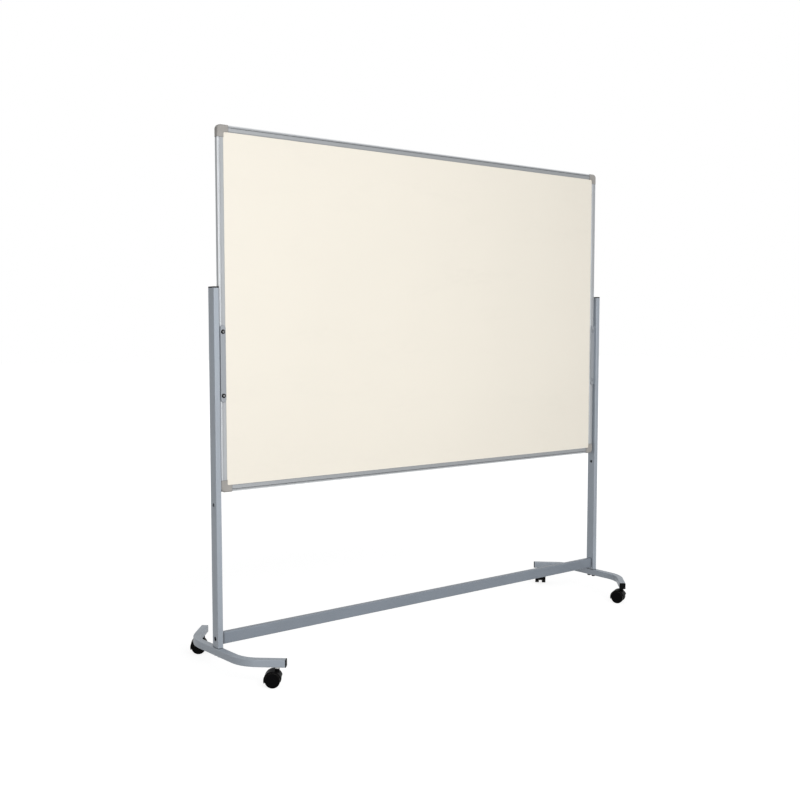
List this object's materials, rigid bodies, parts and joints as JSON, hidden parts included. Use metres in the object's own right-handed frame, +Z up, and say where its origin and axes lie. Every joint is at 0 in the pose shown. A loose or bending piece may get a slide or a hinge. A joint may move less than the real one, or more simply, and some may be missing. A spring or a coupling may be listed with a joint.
{
  "type": "rolling whiteboard",
  "caption": "Large framed whiteboard clamped between two posts, on bent tube feet joined by a low rail, rolling on twin-wheel swivel castors.",
  "frame": {"origin": "on the floor under the middle of the board, halfway between the posts", "axes": "+X along the board to the right of someone facing it, +Y from the writing face to the back, +Z up"},
  "size_m": [1.8705, 0.5398, 1.8106],
  "materials": {
    "writing_enamel": "smooth low-gloss enamel on a steel sheet",
    "core_board": "pressed fibre board, cut edges",
    "backing_sheet": "plain coated sheet",
    "frame_aluminium": "satin anodised, drawn along the bar",
    "corner_plastic": "fine moulded grain",
    "stand_paint": "fine metallic powder coat, satin",
    "black_plastic": "moulded, matte",
    "zinc_steel": "bright zinc plate",
    "black_steel": "black oxide",
    "castor_plastic": "moulded, low sheen"
  },
  "bodies": {
    "stand": {"writing_surface": "writing_enamel", "core_panel": "core_board", "backing_sheet": "backing_sheet", "frame_top": "frame_aluminium", "frame_bottom": "frame_aluminium", "frame_left": "frame_aluminium", "frame_right": "frame_aluminium", "corner_cap_top_left": "corner_plastic", "corner_cap_top_right": "corner_plastic", "corner_cap_bottom_left": "corner_plastic", "corner_cap_bottom_right": "corner_plastic", "corner_cap_screws": "zinc_steel", "left_clamp_strap": "stand_paint", "right_clamp_strap": "stand_paint", "left_board_bracket": "stand_paint", "right_board_bracket": "stand_paint", "clamp_screws": "zinc_steel", "clamp_washers": "black_plastic", "clamp_nuts": "zinc_steel", "bracket_screws": "zinc_steel", "bracket_inserts": "zinc_steel", "left_upright": "stand_paint", "right_upright": "stand_paint", "left_upright_cap": "black_plastic", "right_upright_cap": "black_plastic", "cross_rail": "stand_paint", "left_rail_plug": "black_plastic", "right_rail_plug": "black_plastic", "rail_bolts": "black_steel", "left_base_plug": "black_plastic", "right_base_plug": "black_plastic", "base_bolts": "black_steel", "left_foot": "stand_paint", "right_foot": "stand_paint", "castor_sockets": "zinc_steel", "front_left_foot_cap": "black_plastic", "front_left_stem": "zinc_steel", "front_right_foot_cap": "black_plastic", "front_right_stem": "zinc_steel", "back_left_foot_cap": "black_plastic", "back_left_stem": "zinc_steel", "back_right_foot_cap": "black_plastic", "back_right_stem": "zinc_steel"},
    "front_left_swivel": {"front_left_hood": "castor_plastic", "front_left_axle": "zinc_steel"},
    "front_left_wheel_a": {"front_left_wheel_a": "castor_plastic"},
    "front_left_wheel_b": {"front_left_wheel_b": "castor_plastic"},
    "front_right_swivel": {"front_right_hood": "castor_plastic", "front_right_axle": "zinc_steel"},
    "front_right_wheel_a": {"front_right_wheel_a": "castor_plastic"},
    "front_right_wheel_b": {"front_right_wheel_b": "castor_plastic"},
    "back_left_swivel": {"back_left_hood": "castor_plastic", "back_left_axle": "zinc_steel"},
    "back_left_wheel_a": {"back_left_wheel_a": "castor_plastic"},
    "back_left_wheel_b": {"back_left_wheel_b": "castor_plastic"},
    "back_right_swivel": {"back_right_hood": "castor_plastic", "back_right_axle": "zinc_steel"},
    "back_right_wheel_a": {"back_right_wheel_a": "castor_plastic"},
    "back_right_wheel_b": {"back_right_wheel_b": "castor_plastic"}
  },
  "joints": [
    {"name": "front_left_swivel_turn", "type": "hinge", "parent": "stand", "child": "front_left_swivel", "pos_m": [-0.81842, -0.2241, 0.065], "axis": [0, 0, 1], "continuous": true},
    {"name": "front_left_wheel_a_spin", "type": "hinge", "parent": "front_left_swivel", "child": "front_left_wheel_a", "pos_m": [-0.82945, -0.21548, 0.025], "axis": [-0.6157, -0.788, 0], "continuous": true},
    {"name": "front_left_wheel_b_spin", "type": "hinge", "parent": "front_left_swivel", "child": "front_left_wheel_b", "pos_m": [-0.82945, -0.21548, 0.025], "axis": [-0.6157, -0.788, 0], "continuous": true},
    {"name": "front_right_swivel_turn", "type": "hinge", "parent": "stand", "child": "front_right_swivel", "pos_m": [0.84399, -0.23342, 0.065], "axis": [0, 0, 1], "continuous": true},
    {"name": "front_right_wheel_a_spin", "type": "hinge", "parent": "front_right_swivel", "child": "front_right_wheel_a", "pos_m": [0.83808, -0.22073, 0.025], "axis": [-0.9063, -0.4226, 0], "continuous": true},
    {"name": "front_right_wheel_b_spin", "type": "hinge", "parent": "front_right_swivel", "child": "front_right_wheel_b", "pos_m": [0.83808, -0.22073, 0.025], "axis": [-0.9063, -0.4226, 0], "continuous": true},
    {"name": "back_left_swivel_turn", "type": "hinge", "parent": "stand", "child": "back_left_swivel", "pos_m": [-0.85383, 0.23617, 0.065], "axis": [0, 0, 1], "continuous": true},
    {"name": "back_left_wheel_a_spin", "type": "hinge", "parent": "back_left_swivel", "child": "back_left_wheel_a", "pos_m": [-0.86596, 0.24316, 0.025], "axis": [-0.5, -0.866, 0], "continuous": true},
    {"name": "back_left_wheel_b_spin", "type": "hinge", "parent": "back_left_swivel", "child": "back_left_wheel_b", "pos_m": [-0.86596, 0.24316, 0.025], "axis": [-0.5, -0.866, 0], "continuous": true},
    {"name": "back_right_swivel_turn", "type": "hinge", "parent": "stand", "child": "back_right_swivel", "pos_m": [0.82788, 0.22793, 0.065], "axis": [0, 0, 1], "continuous": true},
    {"name": "back_right_wheel_a_spin", "type": "hinge", "parent": "back_right_swivel", "child": "back_right_wheel_a", "pos_m": [0.81798, 0.21803, 0.025], "axis": [0.7071, -0.7071, 0], "continuous": true},
    {"name": "back_right_wheel_b_spin", "type": "hinge", "parent": "back_right_swivel", "child": "back_right_wheel_b", "pos_m": [0.81798, 0.21803, 0.025], "axis": [0.7071, -0.7071, 0], "continuous": true}
  ]
}
